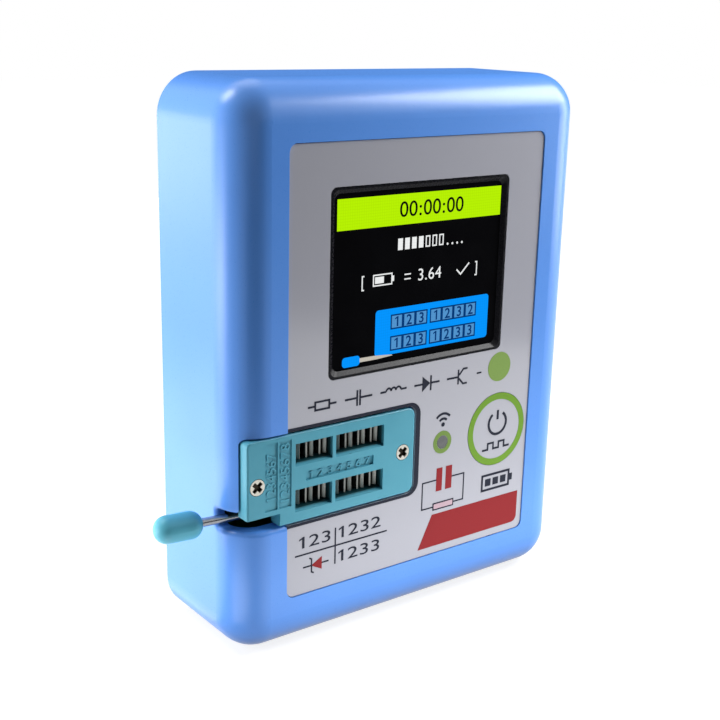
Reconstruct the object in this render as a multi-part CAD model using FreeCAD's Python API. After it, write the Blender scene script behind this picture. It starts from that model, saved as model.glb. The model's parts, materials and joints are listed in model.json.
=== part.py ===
import FreeCAD, Part
import math
import os

# Component tester, millimetres. X to the right, Y from the front to the back, Z up.
# The origin is the middle of the flat bottom. Depths are counted from the case's front face.

# Case
case_width = 70.0
case_height = 90.0
case_depth = 22.5
corner_radius = 6.7
edge_radius = 6.3
wall = 2.2
front_wall = 2.6
cover_thickness = 2.0
cover_rim = 1.1
cover_gap = 0.15
boss_inset = 7.2
boss_radius = 3.0

# Front panel and screen
panel_width = 51.2
panel_height = 71.6
panel_corner = 1.3
panel_thickness = 0.6
panel_recess = 0.2
panel_gap = 0.1
window_width = 36.3
window_height = 30.0
window_corner = 1.1
window_drop = 6.7
bezel_recess = 0.05
bezel_front_lip = 0.35
bezel_back_lip = 1.0
lcd_width = 46.7
lcd_height = 34.0
lcd_gap = 0.2
lcd_glass_thickness = 1.1
lcd_backlight_thickness = 1.5
lcd_seat = 0.05
carrier_plate = 1.2
carrier_margin = 1.0
carrier_leg_radius = 2.0
carrier_leg_inset = 3.5
flex_width = 12.0
flex_thickness = 0.2
flex_bend = 1.6
flex_foot = 3.0
flex_reach = 2.2

# Lever socket
pin_pitch = 2.54
row_spacing = 7.62
pins_left = 3
pins_right = 4
socket_height = 10.5
socket_inset = 2.0
socket_z = 29.4
socket_gap = 0.3
socket_left_corner = 0.8
socket_right_corner = 1.4
socket_edge_round = 0.3
socket_cover_thickness = 2.6
socket_base_inset = 0.5
first_pin = 9.79
last_pin_margin = 7.47
row_margin = 3.59
slot_height = 3.7
slot_end = 1.0
slot_divider = 0.66
slot_bevel = 0.3
slot_bevel_depth = 0.7
left_screw_offset = 1.85
right_screw_offset = 2.4
panel_socket_gap = 0.35
name_recess_depth = 0.35
name_recess_height = 1.6
name_recess_inset = 2.0
side_recess_depth = 0.2
side_recess_width = 2.3
side_recess_height = 11.0
side_recess_gap = 0.25
side_recess_margin = 0.75

# Lever and cam
lever_diameter = 1.4
lever_tilt = 6.5
lever_rise = 0.6
lever_clear = 0.6
lever_bend = 1.2
lever_notch_floor = 0.3
lever_notch_side = 1.2
lever_notch_top = 0.2
lever_notch_lip = 0.8
pivot_offset = 4.1
shaft_gap = 0.05
cam_throw = 0.7
cam_radius = 0.95
cam_length = 2.6
cam_gap = 0.3
shaft_end_margin = 1.0
knob_start = 8.9
knob_length = 7.8
knob_diameter = 4.4
knob_round = 2.1
knob_grip = 6.0
knob_bore_gap = 0.02

# Slider and contacts
slider_thickness = 1.0
slider_gap = 0.1
slider_side_gap = 0.3
slider_stop_gap = 0.3
slider_bar = 1.9
slider_rib = 0.7
leaf_thickness = 0.25
leaf_width = 2.6
leaf_gap = 0.4
leaf_top_depth = 1.3
leaf_flare = 0.35
leaf_flare_depth = 0.45
leaf_bottom_depth = 8.4
leaf_side_gap = 0.15
contact_web = 0.3
tail_size = 0.5
tail_out = 0.8
tail_hole_gap = 0.15

# Board
board_thickness = 1.6
board_gap = 0.5
board_notch_gap = 0.5
post_inset = 7.0
post_low_z = 15.5
post_top_drop = 18.0
post_radius = 2.5

# Screws
case_screw_radius = 1.1
case_screw_length = 10.0
case_head_radius = 2.2
case_head_height = 1.3
board_screw_radius = 0.85
board_screw_length = 6.0
board_head_radius = 1.8
board_head_height = 1.3
socket_screw_radius = 0.7
socket_screw_length = 6.4
socket_head_radius = 1.3
socket_head_height = 0.9
screw_gap = 0.1
cross_width = 0.7
cross_depth = 0.6
cross_reach = 0.75
cross_turn = 45.0

# Test button and its switch
button_x = 18.3
button_radius = 6.55
button_gap = 0.15
button_travel = 0.3
button_flange = 1.0
button_flange_thickness = 1.0
button_stem_radius = 2.0
switch_side = 6.0
switch_body_height = 3.5
switch_plunger_radius = 1.75
switch_plunger_height = 1.5
switch_plunger_depth = 0.6
switch_plunger_gap = 0.1

# Infrared window and receiver
ir_x = 5.86
ir_radius = 1.1
ir_gap = 0.05
ir_flange = 0.9
ir_flange_thickness = 0.6
receiver_width = 5.6
receiver_height = 6.6
receiver_body = 3.4
receiver_dome = 2.0
receiver_gap = 0.3
receiver_lead = 0.5
receiver_lead_pitch = 1.27

# Battery
battery_width = 30.0
battery_height = 40.0
battery_clearance = 2.0
battery_round = 1.6
battery_low_z = 20.0
battery_pad_thickness = 0.8
battery_pad_margin = 3.0
rib_thickness = 1.2
rib_height = 3.0
rib_gap = 0.4
lead_diameter = 1.2
lead_spacing = 2.0
plug_width = 5.0
plug_depth = 2.8
plug_length = 7.3
plug_wall = 0.7
plug_gap = 0.1
plug_out = 2.0
plug_rise = 8.0
lead_run = 2.6
lead_arc_share = 0.45

# Charging socket
usb_z = 45.0
usb_width = 7.5
usb_height = 2.6
usb_length = 5.6
usb_wall = 0.35
usb_mouth = 1.1
usb_gap = 0.3
usb_port_width = 11.4
usb_port_height = 7.4
usb_port_depth = 1.0
usb_port_corner = 2.0
tongue_width = 4.6
tongue_thickness = 0.7
tongue_back = 1.2
tongue_short = 0.8
led_z = 33.0
led_length = 1.8
led_width = 1.0
led_height = 0.8
led_hole_radius = 0.9

# Places (x, z) and sizes (x, z, thickness) of the small parts on the back of the board
processor_place = (-9.0, 46.0)
processor_size = (7.0, 7.0, 1.3)
processor_chamfer = 0.2
crystal_place = (-9.0, 37.5)
crystal_size = (8.0, 3.6, 1.4)
crystal_corner = 1.5
charger_place = (21.0, 50.5)
charger_size = (3.0, 3.0, 1.1)
coil_place = (20.5, 58.0)
coil_size = (5.0, 5.0, 2.8)
coil_corner = 0.8
capacitor_place = (-2.5, 23.5)
capacitor_size = (1.0, 2.0, 1.0)
capacitor_columns = 4
capacitor_rows = 2
capacitor_step = 3.0
resistor_place = (2.0, 42.0)
resistor_size = (0.8, 1.6, 0.5)
resistor_columns = 3
resistor_rows = 4
resistor_step = 2.6

# How far a cutting shape runs past the face that it opens
past = 1.0

os.makedirs("parts", exist_ok=True)
Vector = FreeCAD.Vector

# Places worked out from the sizes above
front_y = -case_depth / 2
half_width = case_width / 2
mid_z = case_height / 2
panel_top = mid_z + panel_height / 2
panel_left = -panel_width / 2
panel_back = panel_recess + panel_thickness
window_z = panel_top - window_drop - window_height / 2
cover_depth = case_depth - cover_thickness
lcd_depth = panel_back + lcd_seat
backlight_depth = lcd_depth + lcd_glass_thickness
carrier_depth = backlight_depth + lcd_backlight_thickness
board_depth = socket_height
board_back = board_depth + board_thickness
board_half = half_width - wall - board_gap
board_low = wall + board_gap
board_high = case_height - wall - board_gap
boss_x = half_width - boss_inset
boss_rows = (boss_inset, case_height - boss_inset)
post_x = half_width - post_inset
post_rows = (post_low_z, case_height - post_top_drop)

pin_count = pins_left + pins_right
socket_length = first_pin + (pin_count - 1) * pin_pitch + last_pin_margin
socket_width = row_spacing + 2 * row_margin
socket_left = -half_width + socket_inset
socket_right = socket_left + socket_length
socket_low = socket_z - socket_width / 2
socket_high = socket_z + socket_width / 2
base_left = -half_width + wall + socket_gap
pin_xs = [socket_left + first_pin + i * pin_pitch for i in range(pin_count)]
row_zs = [socket_z - row_spacing / 2, socket_z + row_spacing / 2]
divider_x = pin_xs[pins_left] - pin_pitch / 2
slot_left = pin_xs[0] - slot_end
slot_right = pin_xs[-1] + slot_end
socket_screw_xs = (socket_left + left_screw_offset, socket_right - right_screw_offset)

slider_depth = socket_cover_thickness + slider_gap
deck_depth = slider_depth + slider_thickness + slider_gap
pivot_x = socket_left + pivot_offset
lever_radius = lever_diameter / 2
pivot_depth = deck_depth + lever_radius
lever_z = socket_low + lever_rise + lever_radius
bend_high = lever_z + lever_bend
notch_high = lever_z + lever_radius + lever_notch_top
notch_right = pivot_x + lever_radius + lever_notch_side
lever_turn = math.radians(lever_tilt)
wall_crossing = (half_width + pivot_x) * math.tan(lever_turn)
notch_depth = pivot_depth + wall_crossing + lever_radius + lever_notch_floor
cam_z = row_zs[1]
shaft_high = cam_z + cam_length / 2 + shaft_end_margin

contact_half = leaf_gap / 2 + leaf_thickness
slider_low = row_zs[0] - leaf_width / 2 - slider_bar / 2
slider_high = row_zs[1] + leaf_width / 2 + slider_bar / 2
rib_free = (pin_pitch - 2 * contact_half - slider_rib - cam_throw) / 2
slider_right = pin_xs[-1] + contact_half + rib_free + slider_bar
slider_left = pin_xs[0] - contact_half - rib_free - cam_throw - slider_bar
tongue_left = pivot_x - cam_radius - cam_gap - slider_rib

battery_depth = board_back + battery_clearance
battery_thickness = cover_depth - battery_pad_thickness - battery_depth
battery_high = battery_low_z + battery_height
plug_depth_start = board_back + plug_wall + plug_gap
plug_low = battery_high + plug_rise
usb_mouth_x = half_width - usb_mouth
switch_depth = board_depth - switch_body_height
plunger_top = switch_depth - switch_plunger_height
receiver_depth = front_wall + ir_flange_thickness + receiver_gap + receiver_dome


def box(x0, x1, d0, d1, z0, z1):
    return Part.makeBox(x1 - x0, d1 - d0, z1 - z0, Vector(x0, front_y + d0, z0))


def centred_box(x, z, width, height, d0, d1):
    return box(x - width / 2, x + width / 2, d0, d1, z - height / 2, z + height / 2)


def rod(radius, x, z, d0, d1):
    return Part.makeCylinder(radius, d1 - d0, Vector(x, front_y + d0, z), Vector(0, 1, 0))


def upright(radius, x, d, z0, z1):
    return Part.makeCylinder(radius, z1 - z0, Vector(x, front_y + d, z0))


def edges_along(shape, axis):
    found = []
    for edge in shape.Edges:
        if edge.Curve.TypeId != "Part::GeomLine":
            continue
        if abs(edge.Curve.Direction.dot(axis)) > 0.999:
            found.append(edge)
    return found


def edges_at_depth(shape, depth):
    level = front_y + depth
    found = []
    for edge in shape.Edges:
        bounds = edge.BoundBox
        if abs(bounds.YMin - level) < 1e-6 and abs(bounds.YMax - level) < 1e-6:
            found.append(edge)
    return found


def plate(x0, x1, z0, z1, corner, d0, d1):
    slab = box(x0, x1, d0, d1, z0, z1)
    return slab.makeFillet(corner, edges_along(slab, Vector(0, 1, 0)))


def centred_plate(width, height, z, corner, d0, d1):
    return plate(-width / 2, width / 2, z - height / 2, z + height / 2, corner, d0, d1)


def cut_all(shape, tools):
    return shape.cut(Part.makeCompound(tools)).removeSplitter()


def join(shapes):
    return shapes[0].fuse(shapes[1:]).removeSplitter()


def prism_along_x(points, x0, x1):
    corners = [Vector(x0, front_y + d, z) for d, z in points]
    face = Part.Face(Part.makePolygon(corners + corners[:1]))
    return face.extrude(Vector(x1 - x0, 0, 0))


def screw(x, z, head_radius, shank_radius, top, under, tip):
    head = rod(head_radius, x, z, min(top, under), max(top, under))
    shank = rod(shank_radius, x, z, min(top, tip), max(top, tip))
    floor = top + math.copysign(cross_depth, tip - top)
    low, high = sorted((top, floor))
    length = 2 * head_radius * cross_reach
    across = centred_box(x, z, length, cross_width, low, high)
    along = centred_box(x, z, cross_width, length, low, high)
    cross = across.fuse(along)
    cross.rotate(Vector(x, 0, z), Vector(0, 1, 0), cross_turn)
    return cut_all(join([head, shank]), [cross])


def save(name, shape):
    if shape.ShapeType == "Compound" and len(shape.Solids) == 1:
        shape = shape.Solids[0]
    shape.exportStep("parts/" + name + ".step")
    print(name, len(shape.Solids), round(shape.Volume, 2))


def save_group(name, solids):
    save(name, Part.makeCompound(solids))


# Case
def boss_places():
    return [(x, z) for x in (-boss_x, boss_x) for z in boss_rows]


def post_places():
    return [(x, z) for x in (-post_x, post_x) for z in post_rows]


def usb_opening(width, height, corner, floor_x):
    low = board_back + usb_height / 2 - height / 2
    length = half_width + past - floor_x
    block = Part.makeBox(length, height, width, Vector(floor_x, front_y + low, usb_z - width / 2))
    return block.makeFillet(corner, edges_along(block, Vector(1, 0, 0)))


def usb_port():
    pocket = usb_opening(usb_port_width, usb_port_height, usb_port_corner, half_width - usb_port_depth)
    mouth = usb_opening(usb_width + 2 * usb_gap, usb_height + 2 * usb_gap, usb_gap, half_width - wall - past)
    return pocket.fuse(mouth)


def lever_notch():
    slot = box(-half_width - past, notch_right, -past, notch_depth,
               socket_low - socket_gap, notch_high + lever_clear)
    bottom = [e for e in edges_along(slot, Vector(1, 0, 0)) if e.BoundBox.YMax > front_y]
    return slot.makeFillet(lever_radius, bottom)


def lever_lip_edges(shell):
    level = socket_low - socket_gap
    found = []
    for edge in shell.Edges:
        bounds = edge.BoundBox
        flat = abs(bounds.ZMin - level) < 1e-6 and abs(bounds.ZMax - level) < 1e-6
        round_edge = edge.Curve.TypeId == "Part::GeomCircle"
        if flat and round_edge and bounds.XMax < panel_left and abs(edge.Curve.Radius - edge_radius) < 1e-6:
            found.append(edge)
    return found


def front_shell():
    block = box(-half_width, half_width, 0, case_depth, 0, case_height)
    block = block.makeFillet(corner_radius, edges_along(block, Vector(0, 1, 0)))
    body = block.makeFillet(edge_radius, edges_at_depth(block, 0))
    hollow = plate(-half_width + wall, half_width - wall, wall, case_height - wall,
                   corner_radius - wall, front_wall, case_depth + past)
    hollow = hollow.makeFillet(edge_radius - front_wall, edges_at_depth(hollow, front_wall))
    rebate = plate(-half_width + cover_rim, half_width - cover_rim, cover_rim, case_height - cover_rim,
                   corner_radius - cover_rim, cover_depth, case_depth + past)
    body = cut_all(body, [hollow, rebate])
    bosses = [rod(boss_radius, x, z, front_wall / 2, cover_depth) for x, z in boss_places()]
    posts = [rod(post_radius, x, z, front_wall / 2, board_depth) for x, z in post_places()]
    body = join([body] + bosses + posts)
    through = front_wall + past
    holes = [centred_plate(panel_width + 2 * panel_gap, panel_height + 2 * panel_gap, mid_z,
                           panel_corner + panel_gap, -past, panel_back)]
    holes.append(centred_plate(lcd_width + 2 * lcd_gap, lcd_height + 2 * lcd_gap, window_z,
                               window_corner, -past, through))
    holes.append(plate(socket_left - socket_gap, socket_right + socket_gap, socket_low - socket_gap,
                       socket_high + socket_gap, socket_left_corner + socket_gap, -past, edge_radius + past))
    holes.append(lever_notch())
    holes.append(rod(button_radius + button_gap, button_x, socket_z, -past, through))
    holes.append(rod(ir_radius + ir_gap, ir_x, socket_z, -past, through))
    holes.append(usb_port())
    led_middle = front_y + board_back + led_height / 2
    holes.append(Part.makeCylinder(led_hole_radius, wall + 2 * past,
                                   Vector(half_width - wall - past, led_middle, led_z), Vector(1, 0, 0)))
    for x, z in boss_places():
        holes.append(rod(case_screw_radius + screw_gap, x, z, cover_depth - case_screw_length, case_depth))
    post_hole = board_screw_radius + screw_gap
    for x, z in post_places():
        holes.append(rod(post_hole, x, z, board_depth - board_screw_length, board_depth + past))
    body = cut_all(body, holes)
    return body.makeFillet(lever_notch_lip, lever_lip_edges(body))


def back_cover():
    reach = cover_rim + cover_gap
    slab = plate(-half_width + reach, half_width - reach, reach, case_height - reach,
                 corner_radius - reach, cover_depth, case_depth)
    half = battery_width / 2 + rib_gap
    low = battery_low_z - rib_gap
    high = battery_high + rib_gap
    top = cover_depth - rib_height
    seat = cover_depth + cover_thickness / 2
    ribs = [box(-half - rib_thickness, -half, top, seat, low, high),
            box(half, half + rib_thickness, top, seat, low, high),
            box(-half - rib_thickness, half + rib_thickness, top, seat, low - rib_thickness, low)]
    slab = join([slab] + ribs)
    holes = []
    head_seat = case_depth - case_head_height
    for x, z in boss_places():
        holes.append(rod(case_screw_radius + screw_gap, x, z, cover_depth - past, case_depth))
        holes.append(rod(case_head_radius + screw_gap, x, z, head_seat, case_depth + past))
    return cut_all(slab, holes)


def case_screw(x, z):
    tip = cover_depth - case_screw_length + screw_gap
    return screw(x, z, case_head_radius, case_screw_radius, case_depth, case_depth - case_head_height, tip)


# Front panel and screen
def front_panel():
    film = centred_plate(panel_width, panel_height, mid_z, panel_corner, panel_recess, panel_back)
    holes = [centred_plate(window_width, window_height, window_z, window_corner,
                           panel_recess - past, panel_back + past)]
    holes.append(plate(panel_left - socket_length, socket_right + panel_socket_gap,
                       socket_low - panel_socket_gap, socket_high + panel_socket_gap,
                       socket_right_corner + panel_socket_gap, panel_recess - past, panel_back + past))
    holes.append(rod(button_radius + button_gap, button_x, socket_z, panel_recess - past, panel_back + past))
    holes.append(rod(ir_radius + ir_gap, ir_x, socket_z, panel_recess - past, panel_back + past))
    return cut_all(film, holes)


def outline_wire(width, height, corner, depth):
    sheet = centred_plate(width, height, window_z, corner, depth, depth + panel_thickness)
    return Part.Wire(Part.__sortEdges__(edges_at_depth(sheet, depth)))


def screen_bezel():
    width = window_width - 2 * panel_gap
    height = window_height - 2 * panel_gap
    front = panel_recess + bezel_recess
    ring = centred_plate(width, height, window_z, window_corner - panel_gap, front, panel_back)
    near = outline_wire(width - 2 * bezel_front_lip, height - 2 * bezel_front_lip, window_corner, front)
    far = outline_wire(width - 2 * bezel_back_lip, height - 2 * bezel_back_lip, window_corner, panel_back)
    return cut_all(ring, [Part.makeLoft([near, far], True, True)])


def lcd_slab(margin, start, thickness):
    return centred_plate(lcd_width - 2 * margin, lcd_height - 2 * margin, window_z, window_corner / 2,
                         start, start + thickness)


def lcd_carrier():
    start = carrier_depth
    tray = lcd_slab(carrier_margin, start, carrier_plate)
    pieces = [tray]
    reach_x = lcd_width / 2 - carrier_leg_inset
    reach_z = lcd_height / 2 - carrier_leg_inset
    for x in (-reach_x, reach_x):
        for z in (window_z - reach_z, window_z + reach_z):
            pieces.append(rod(carrier_leg_radius, x, z, start + carrier_plate / 2, board_depth))
    return join(pieces)


def lcd_flex():
    x0 = lcd_width / 2 - carrier_margin
    x1 = lcd_width / 2 + flex_reach
    d0 = carrier_depth
    d1 = board_depth
    inner = flex_bend
    outer = flex_bend + flex_thickness
    z0 = window_z - flex_width / 2
    down = box(x1 - flex_thickness, x1, d0 + outer, d1 - outer, z0, z0 + flex_width)
    start = box(x0, x1 - outer, d0, d0 + flex_thickness, z0, z0 + flex_width)
    foot = box(x1 + inner, x1 + inner + flex_foot, d1 - flex_thickness, d1, z0, z0 + flex_width)

    def bend(x, d, quarter_x0, quarter_d0):
        tube = upright(outer, x, d, z0, z0 + flex_width).cut(upright(inner, x, d, z0, z0 + flex_width))
        quarter = box(quarter_x0, quarter_x0 + outer, quarter_d0, quarter_d0 + outer, z0, z0 + flex_width)
        return tube.common(quarter)

    upper = bend(x1 - outer, d0 + outer, x1 - outer, d0)
    lower = bend(x1 + inner, d1 - outer, x1 + inner - outer, d1 - outer)
    return join([start, upper, down, lower, foot])


# Lever socket
def pin_places():
    return [(x, z) for x in pin_xs for z in row_zs]


def socket_slots():
    spans = [(slot_left, divider_x - slot_divider / 2), (divider_x + slot_divider / 2, slot_right)]
    return [(x0, x1, z) for x0, x1 in spans for z in row_zs]


def socket_cover():
    thick = socket_cover_thickness
    block = box(socket_left, socket_right, 0, thick, socket_low, socket_high)
    along = edges_along(block, Vector(0, 1, 0))
    block = block.makeFillet(socket_left_corner, [e for e in along if e.BoundBox.XMax < pivot_x])
    along = edges_along(block, Vector(0, 1, 0))
    block = block.makeFillet(socket_right_corner, [e for e in along if e.BoundBox.XMin > socket_right - past])
    block = block.makeFillet(socket_edge_round, edges_at_depth(block, 0))
    tools = [box(socket_left - past, notch_right, -past, thick + past, socket_low - past, notch_high)]
    half = slot_height / 2
    inner = half - slot_bevel
    upper = [(-past, half), (0, half), (slot_bevel_depth, inner), (thick + past, inner)]
    outline = upper + [(d, -z) for d, z in reversed(upper)]
    for x0, x1, z in socket_slots():
        tools.append(prism_along_x(outline, x0, x1).translated(Vector(0, 0, z)))
    name_length = slot_right - slot_left - 2 * name_recess_inset
    tools.append(centred_box((slot_left + slot_right) / 2, socket_z, name_length, name_recess_height,
                             -past, name_recess_depth))
    side_right = slot_left - side_recess_margin
    side_high = socket_high - socket_left_corner
    for i in range(2):
        x1 = side_right - i * (side_recess_width + side_recess_gap)
        tools.append(box(x1 - side_recess_width, x1, -past, side_recess_depth,
                         side_high - side_recess_height, side_high))
    for x in socket_screw_xs:
        tools.append(rod(socket_screw_radius + screw_gap, x, socket_z, -past, thick + past))
        tools.append(rod(socket_head_radius + screw_gap, x, socket_z, -past, socket_head_height))
    return cut_all(block, tools)


def socket_base():
    inset = socket_base_inset
    block = box(base_left, socket_right - inset, socket_cover_thickness, socket_height,
                socket_low + inset, socket_high - inset)
    tools = [box(socket_left, notch_right, 0, notch_depth + inset, socket_low, bend_high)]
    deck_right = slider_right + cam_throw + slider_stop_gap
    tools.append(box(tongue_left - slider_stop_gap, deck_right, 0, deck_depth,
                     slider_low - slider_side_gap, slider_high + slider_side_gap))
    well_width = 2 * (contact_half + leaf_side_gap)
    well_height = leaf_width + 2 * leaf_side_gap
    tail_hole = tail_size + 2 * tail_hole_gap
    for x, z in pin_places():
        tools.append(centred_box(x, z, well_width, well_height, 0, leaf_bottom_depth + contact_web))
        tools.append(centred_box(x, z, tail_hole, tail_hole, 0, socket_height + past))
    groove = lever_radius + shaft_gap
    groove_high = shaft_high + shaft_gap
    tools.append(upright(groove, pivot_x, pivot_depth, socket_low, groove_high))
    tools.append(box(pivot_x - groove, pivot_x + groove, 0, pivot_depth, socket_low, groove_high))
    reach = cam_radius + cam_gap
    cam_half = cam_length / 2 + cam_gap
    tools.append(box(pivot_x - reach, pivot_x + cam_throw + reach, 0, pivot_depth + reach,
                     cam_z - cam_half, cam_z + cam_half))
    screw_hole = socket_screw_radius + screw_gap / 2
    for x in socket_screw_xs:
        tools.append(rod(screw_hole, x, socket_z, 0, socket_screw_length + screw_gap))
    return cut_all(block, tools)


def socket_slider():
    d0 = slider_depth
    d1 = slider_depth + slider_thickness
    frame = box(slider_left, slider_right, d0, d1, slider_low, slider_high)
    half = cam_length / 2 + cam_gap
    tongue = box(tongue_left, slider_left + slider_bar, d0, d1, cam_z - half - slider_rib, slider_high)
    tools = []
    half_z = leaf_width / 2 + leaf_side_gap
    for x, z in pin_places():
        left = x - contact_half - rib_free - cam_throw
        right = x + contact_half + rib_free
        tools.append(box(left, right, d0 - past, d1 + past, z - half_z, z + half_z))
    reach = cam_radius + cam_gap
    tools.append(box(pivot_x - reach, pivot_x + reach, d0 - past, d1 + past, cam_z - half, cam_z + half))
    return cut_all(join([frame, tongue]), tools)


def contact_leaf(x, z, side):
    # upright sheet, spread outwards at the top so that a lead finds its way in
    inner = leaf_gap / 2
    outer = inner + leaf_thickness
    bend = leaf_top_depth + leaf_flare_depth
    slant = math.hypot(leaf_flare, leaf_flare_depth)
    tip_across = leaf_thickness * leaf_flare_depth / slant
    tip_depth = leaf_thickness * leaf_flare / slant
    outer_bend = bend + tip_depth - (leaf_thickness - tip_across) * leaf_flare_depth / leaf_flare
    tip = inner + leaf_flare
    half_profile = [(inner, leaf_bottom_depth), (inner, bend), (tip, leaf_top_depth),
                    (tip + tip_across, leaf_top_depth + tip_depth), (outer, outer_bend), (outer, leaf_bottom_depth)]
    corners = [Vector(x + side * across, front_y + d, z - leaf_width / 2) for across, d in half_profile]
    face = Part.Face(Part.makePolygon(corners + corners[:1]))
    return face.extrude(Vector(0, 0, leaf_width))


def socket_contact(x, z):
    leaves = [contact_leaf(x, z, side) for side in (-1, 1)]
    web = centred_box(x, z, 2 * contact_half, leaf_width, leaf_bottom_depth, leaf_bottom_depth + contact_web)
    tail = centred_box(x, z, tail_size, tail_size, leaf_bottom_depth, board_back + tail_out)
    return join(leaves + [web, tail])


def socket_screw(x):
    under = socket_head_height
    return screw(x, socket_z, socket_head_radius, socket_screw_radius, 0, under, socket_screw_length)


def lever_line():
    pivot = Vector(pivot_x, front_y + pivot_depth, lever_z)
    along = Vector(-math.cos(lever_turn), math.sin(lever_turn), 0)
    return pivot, along


def lever_wire():
    pivot, along = lever_line()
    bend_start = pivot + along * lever_bend
    bend_end = pivot + Vector(0, 0, lever_bend)
    centre = pivot + along * lever_bend + Vector(0, 0, lever_bend)
    middle = centre - (along + Vector(0, 0, 1)) * (lever_bend / math.sqrt(2))
    tip = pivot + along * (knob_start + knob_grip)
    top = Vector(pivot_x, front_y + pivot_depth, shaft_high)
    path = Part.Wire([Part.LineSegment(tip, bend_start).toShape(),
                      Part.Arc(bend_start, middle, bend_end).toShape(),
                      Part.LineSegment(bend_end, top).toShape()])
    profile = Part.Wire(Part.makeCircle(lever_radius, tip, along))
    wire = path.makePipeShell([profile], True, False)
    cam = Part.makeCylinder(cam_radius, cam_length,
                            Vector(pivot_x, front_y + pivot_depth - cam_throw, cam_z - cam_length / 2))
    return join([wire, cam])


def lever_knob():
    pivot, along = lever_line()
    start = pivot + along * knob_start
    body = Part.makeCylinder(knob_diameter / 2, knob_length, start, along)
    rims = [e for e in body.Edges if e.Curve.TypeId == "Part::GeomCircle"]
    body = body.makeFillet(knob_round, rims)
    bore = Part.makeCylinder(lever_radius + knob_bore_gap, knob_grip + knob_bore_gap, start, along)
    return cut_all(body, [bore])


# Board and what is on it
def main_board():
    d0 = board_depth - past
    d1 = board_back + past
    board = box(-board_half, board_half, board_depth, board_back, board_low, board_high)
    tools = []
    reach = boss_radius + board_notch_gap
    for x, z in boss_places():
        side_x = math.copysign(boss_inset, x)
        side_z = math.copysign(boss_inset, z - mid_z)
        xs = sorted((x - math.copysign(reach, x), x + side_x))
        zs = sorted((z - math.copysign(reach, side_z), z + side_z))
        tools.append(box(xs[0], xs[1], d0, d1, zs[0], zs[1]))
    for x, z in post_places():
        tools.append(rod(board_screw_radius + 2 * screw_gap, x, z, d0, d1))
    tail_hole = tail_size / math.sqrt(2) + tail_hole_gap
    for x, z in pin_places():
        tools.append(rod(tail_hole, x, z, d0, d1))
    lead_hole = receiver_lead / math.sqrt(2) + tail_hole_gap
    for x, z in receiver_lead_places():
        tools.append(rod(lead_hole, x, z, d0, d1))
    return cut_all(board, tools)


def board_screw(x, z):
    tip = board_depth - board_screw_length + screw_gap
    top = board_back + board_head_height
    return screw(x, z, board_head_radius, board_screw_radius, top, board_back, tip)


def chip(place, size):
    width, height, thickness = size
    return centred_box(place[0], place[1], width, height, board_back, board_back + thickness)


def chip_grid(place, size, columns, rows, step):
    x, z = place
    return [chip((x + i * step, z + j * step), size) for i in range(columns) for j in range(rows)]


def processor_chip():
    body = chip(processor_place, processor_size)
    return body.makeChamfer(processor_chamfer, edges_at_depth(body, board_back + processor_size[2]))


def rounded_chip(place, size, corner):
    body = chip(place, size)
    return body.makeFillet(corner, edges_along(body, Vector(0, 1, 0)))


# Test button
def button_cap():
    top = panel_recess
    flange_depth = front_wall + button_gap
    cap = rod(button_radius, button_x, socket_z, top, flange_depth + button_flange_thickness)
    flange = rod(button_radius + button_flange, button_x, socket_z, flange_depth,
                 flange_depth + button_flange_thickness)
    stem = rod(button_stem_radius, button_x, socket_z, flange_depth, plunger_top)
    return join([cap, flange, stem])


def switch_housing():
    body = centred_box(button_x, socket_z, switch_side, switch_side, switch_depth, board_depth)
    well = rod(switch_plunger_radius + switch_plunger_gap, button_x, socket_z, switch_depth - past,
               switch_depth + switch_plunger_depth + 2 * button_travel)
    return cut_all(body, [well])


def switch_plunger():
    return rod(switch_plunger_radius, button_x, socket_z, plunger_top, switch_depth + switch_plunger_depth)


# Infrared window and receiver
def ir_window():
    lens = rod(ir_radius, ir_x, socket_z, panel_recess, front_wall + ir_flange_thickness)
    flange = rod(ir_radius + ir_flange, ir_x, socket_z, front_wall, front_wall + ir_flange_thickness)
    return join([lens, flange])


def receiver_lead_places():
    return [(ir_x + i * receiver_lead_pitch, socket_z) for i in (-1, 0, 1)]


def ir_receiver():
    body = centred_box(ir_x, socket_z, receiver_width, receiver_height,
                       receiver_depth, receiver_depth + receiver_body)
    dome = Part.makeSphere(receiver_dome, Vector(ir_x, front_y + receiver_depth, socket_z))
    return join([body, dome])


def ir_leads():
    start = receiver_depth + receiver_body
    return [centred_box(x, z, receiver_lead, receiver_lead, start, board_back + tail_out)
            for x, z in receiver_lead_places()]


# Battery
def battery_cell():
    half = battery_width / 2
    cell = box(-half, half, battery_depth, battery_depth + battery_thickness, battery_low_z, battery_high)
    return cell.makeFillet(battery_round, edges_along(cell, Vector(0, 0, 1)))


def battery_pad():
    half = battery_width / 2 - battery_pad_margin
    return box(-half, half, cover_depth - battery_pad_thickness, cover_depth,
               battery_low_z + battery_pad_margin, battery_high - battery_pad_margin)


def battery_plug():
    half = plug_width / 2
    plug_end = plug_depth_start + plug_depth
    body = box(-half, half, plug_depth_start, plug_end, plug_low, plug_low + plug_length)
    middle = plug_depth_start + plug_depth / 2
    holes = [upright(lead_diameter / 2 + plug_gap / 2, x, middle, plug_low - past, plug_low + plug_out)
             for x in (-lead_spacing / 2, lead_spacing / 2)]
    return cut_all(body, holes)


def battery_socket():
    half = plug_width / 2 + plug_gap
    mouth = plug_low + plug_out
    deep = plug_low + plug_length + plug_gap
    cavity_start = plug_depth_start - plug_gap
    cavity_end = plug_depth_start + plug_depth + plug_gap
    outer_half = half + plug_wall
    outer = box(-outer_half, outer_half, board_back, cavity_end + plug_wall, mouth, deep + plug_wall)
    inner = box(-half, half, cavity_start, cavity_end, mouth - past, deep)
    return cut_all(outer, [inner])


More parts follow.
